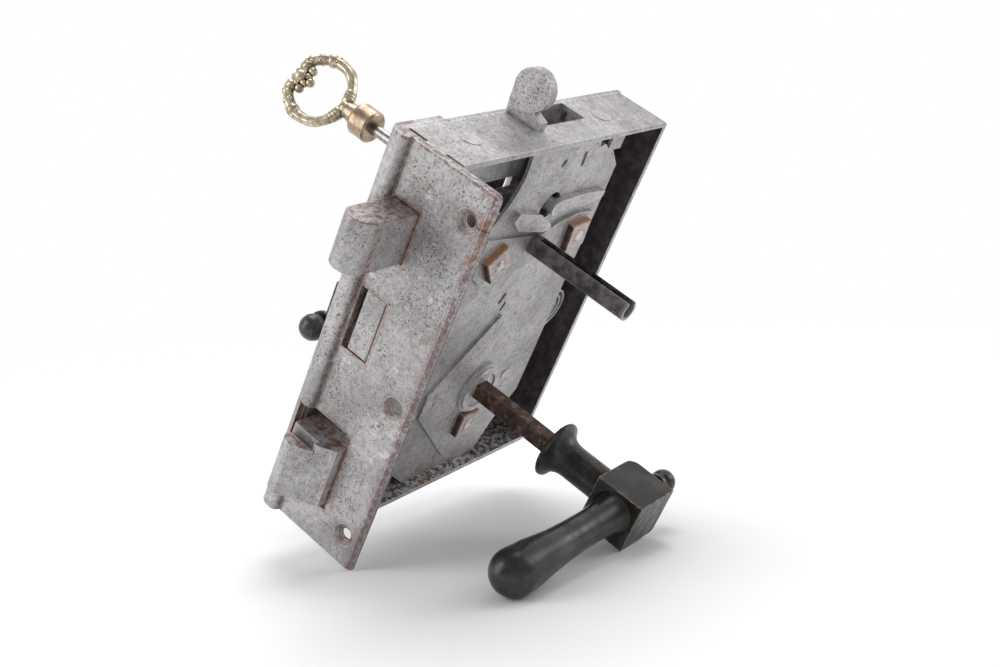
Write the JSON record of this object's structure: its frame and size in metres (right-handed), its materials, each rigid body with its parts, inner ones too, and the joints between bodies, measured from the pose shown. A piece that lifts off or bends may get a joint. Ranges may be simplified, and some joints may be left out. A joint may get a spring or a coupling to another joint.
{
  "type": "surface-mounted door lock",
  "caption": "Antique surface-mounted door lock with a long forend, latch, thumb-worked bolt and key-thrown bolt, a key in its keyhole and lever handles on a square spindle.",
  "frame": {"origin": "axis of the faceplate's middle screw hole, at the faceplate's back face, which rests on the door's edge", "axes": "+X from the faceplate into the case, +Y from the door side to the room side, +Z along the case's long side, from the latch to the key"},
  "size_m": [0.1967, 0.2306, 0.1887],
  "materials": {
    "case_steel": "worn silver-grey coating with pitting and rust stains",
    "works_steel": "dull worn steel with brown staining",
    "bolt_steel": "worn steel with rust along the edges",
    "rusty_steel": "brown rusted steel with worn edges",
    "spring_steel": "dark satin spring strip",
    "bronze": "black-brown patinated bronze with brass showing at worn edges",
    "key_steel": "polished by use, faintly stained",
    "key_brass": "antique brass with dark recesses"
  },
  "bodies": {
    "case": {"faceplate": "case_steel", "front_plate": "case_steel", "rim_strap": "case_steel", "rim_rivets": "works_steel", "corner_lugs": "works_steel", "cover_plate": "case_steel", "hub_cover": "case_steel", "boss_ring": "case_steel", "hub_cover_rivets": "works_steel", "pillar_studs": "rusty_steel", "pillar_sleeves": "works_steel", "square_nuts": "rusty_steel", "key_guide_flange": "case_steel", "key_guide_tube": "rusty_steel", "stop_wedge": "works_steel", "bolt_guides": "works_steel", "lever_stud": "works_steel", "keeper_washers": "works_steel", "latch_springs": "spring_steel", "tumbler_spring": "spring_steel", "tumbler_stud": "works_steel"},
    "deadbolt": {"deadbolt": "bolt_steel"},
    "night_bolt": {"night_bolt": "bolt_steel", "night_bolt_pin": "works_steel"},
    "latch": {"latch_bolt": "bolt_steel", "latch_frame": "works_steel"},
    "thumb_slide": {"thumb_piece": "works_steel", "slide_bar": "works_steel", "slide_pin": "works_steel"},
    "reversing_lever": {"reversing_lever": "works_steel"},
    "tumbler": {"tumbler_arm": "works_steel"},
    "handle_set": {"follower_hub": "works_steel", "spindle": "rusty_steel", "near_handle": "bronze", "far_handle": "bronze", "handle_pins": "works_steel"},
    "key": {"key_shank": "key_steel", "key_collar": "key_brass", "key_bow": "key_brass"}
  },
  "joints": [
    {"name": "thumb_travel", "type": "slide", "parent": "case", "child": "thumb_slide", "axis": [1, 0, 0], "range_m": [0, 0.026]},
    {"name": "lever_swing", "type": "hinge", "parent": "case", "child": "reversing_lever", "pos_m": [0.029, 0.0349, 0.0422], "axis": [0, 1, 0], "range_deg": [0, 40.75]},
    {"name": "night_bolt_throw", "type": "slide", "parent": "case", "child": "night_bolt", "axis": [-1, 0, 0], "range_m": [0, 0.013]},
    {"name": "key_turn", "type": "hinge", "parent": "case", "child": "key", "pos_m": [0.077, 0.0385, 0.0452], "axis": [0, 1, 0], "range_deg": [0, 360]},
    {"name": "deadbolt_throw", "type": "slide", "parent": "case", "child": "deadbolt", "axis": [1, 0, 0], "range_m": [0, 0.02]},
    {"name": "handle_turn", "type": "hinge", "parent": "case", "child": "handle_set", "pos_m": [0.081, 0.0385, -0.0278], "axis": [0, 1, 0], "range_deg": [0, 45], "stiffness_Nm_per_rad": 0.4},
    {"name": "latch_draw", "type": "slide", "parent": "case", "child": "latch", "axis": [1, 0, 0], "range_m": [0, 0.015]},
    {"name": "tumbler_lift", "type": "hinge", "parent": "case", "child": "tumbler", "pos_m": [0.1116, 0.0155, 0.0623], "axis": [0, 1, 0], "range_deg": [0, 4], "stiffness_Nm_per_rad": 0.1}
  ],
  "couplings": [
    {"joint": "lever_swing", "follows": "thumb_travel", "rad_per_m": 27.354},
    {"joint": "night_bolt_throw", "follows": "thumb_travel", "ratio": 0.5},
    {"joint": "key_turn", "follows": "deadbolt_throw", "rad_per_m": 314.13},
    {"joint": "latch_draw", "follows": "handle_turn", "m_per_rad": 0.019097}
  ]
}
